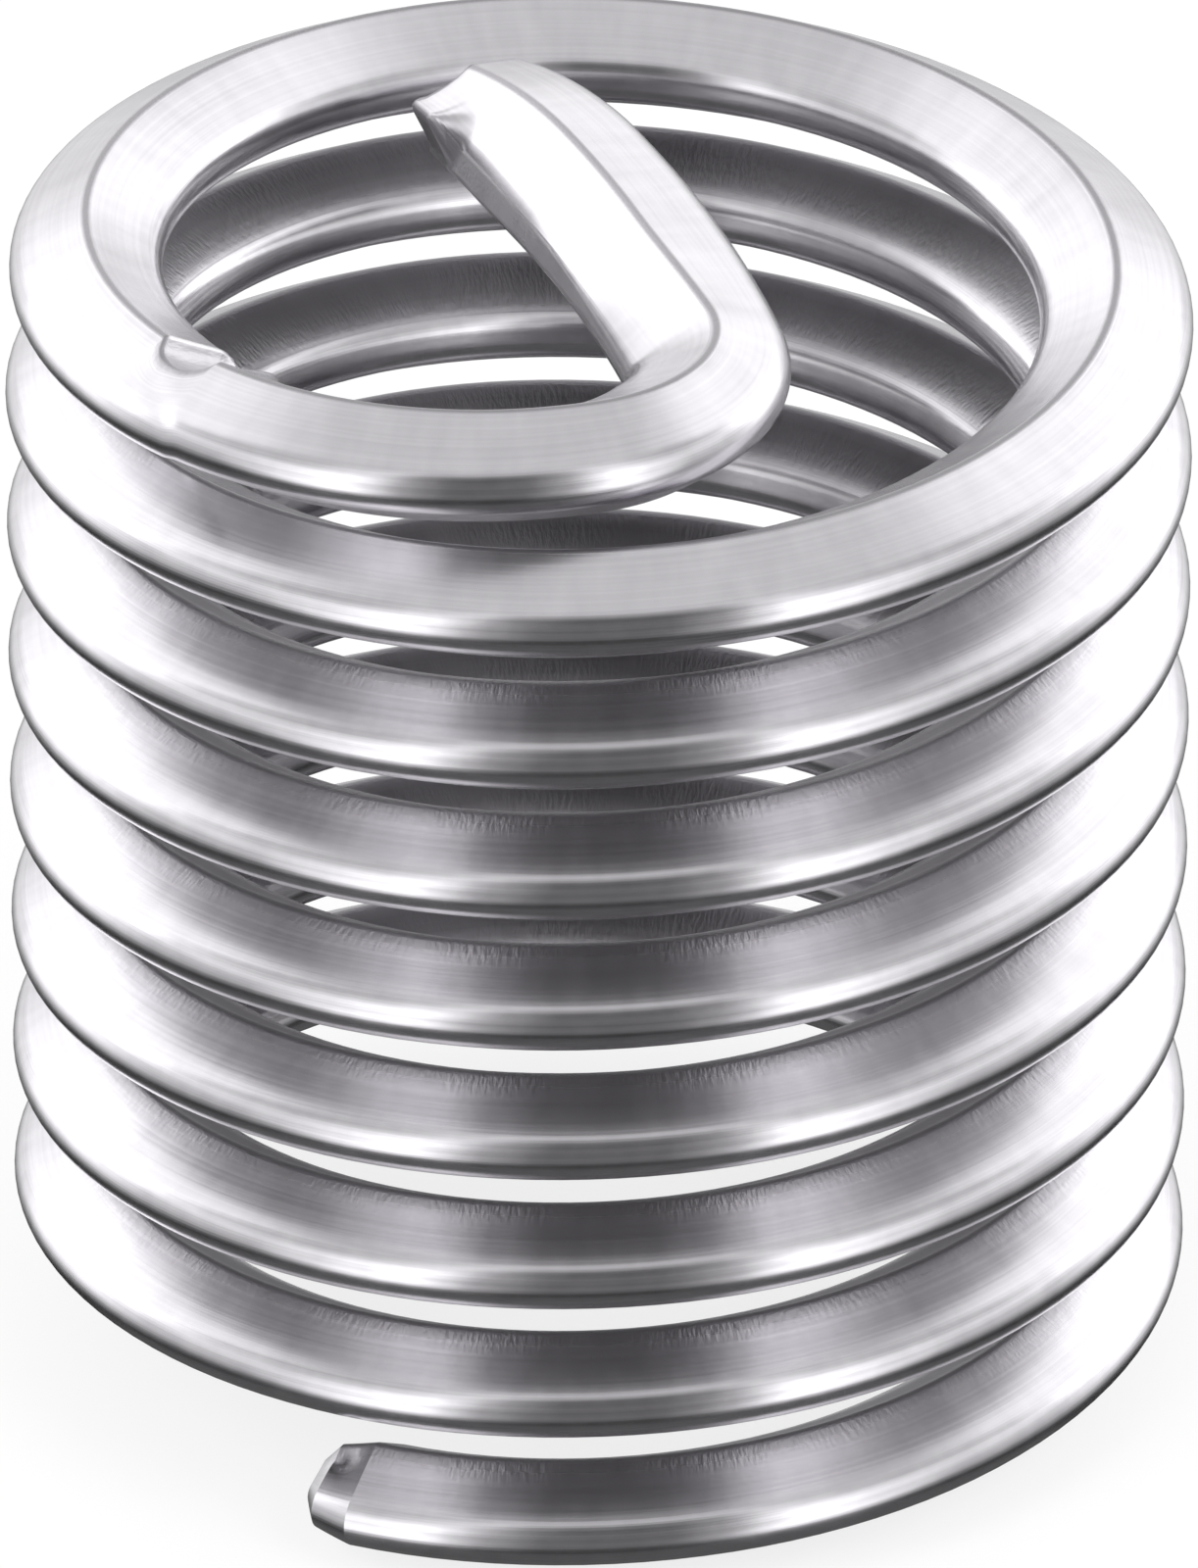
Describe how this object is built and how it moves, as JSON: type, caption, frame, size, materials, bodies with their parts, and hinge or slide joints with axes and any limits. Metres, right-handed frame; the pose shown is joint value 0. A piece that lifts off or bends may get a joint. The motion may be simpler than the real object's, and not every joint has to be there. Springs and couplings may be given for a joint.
{
  "type": "helical thread insert",
  "caption": "Wire thread insert: a coil of diamond-section stainless wire that lines a tapped hole, with a break-off driving tang bent across one end.",
  "frame": {"origin": "on the coil's axis, level with the wire's lowest point at its cut end", "axes": "+Z along the coil's axis towards the tang, -Y towards the viewer in the picture, +X to the right"},
  "size_m": [0.012, 0.012, 0.0132],
  "materials": {
    "stainless_wire": "bright drawn stainless steel wire"
  },
  "bodies": {
    "root": {"thread_insert": "stainless_wire"}
  },
  "joints": []
}
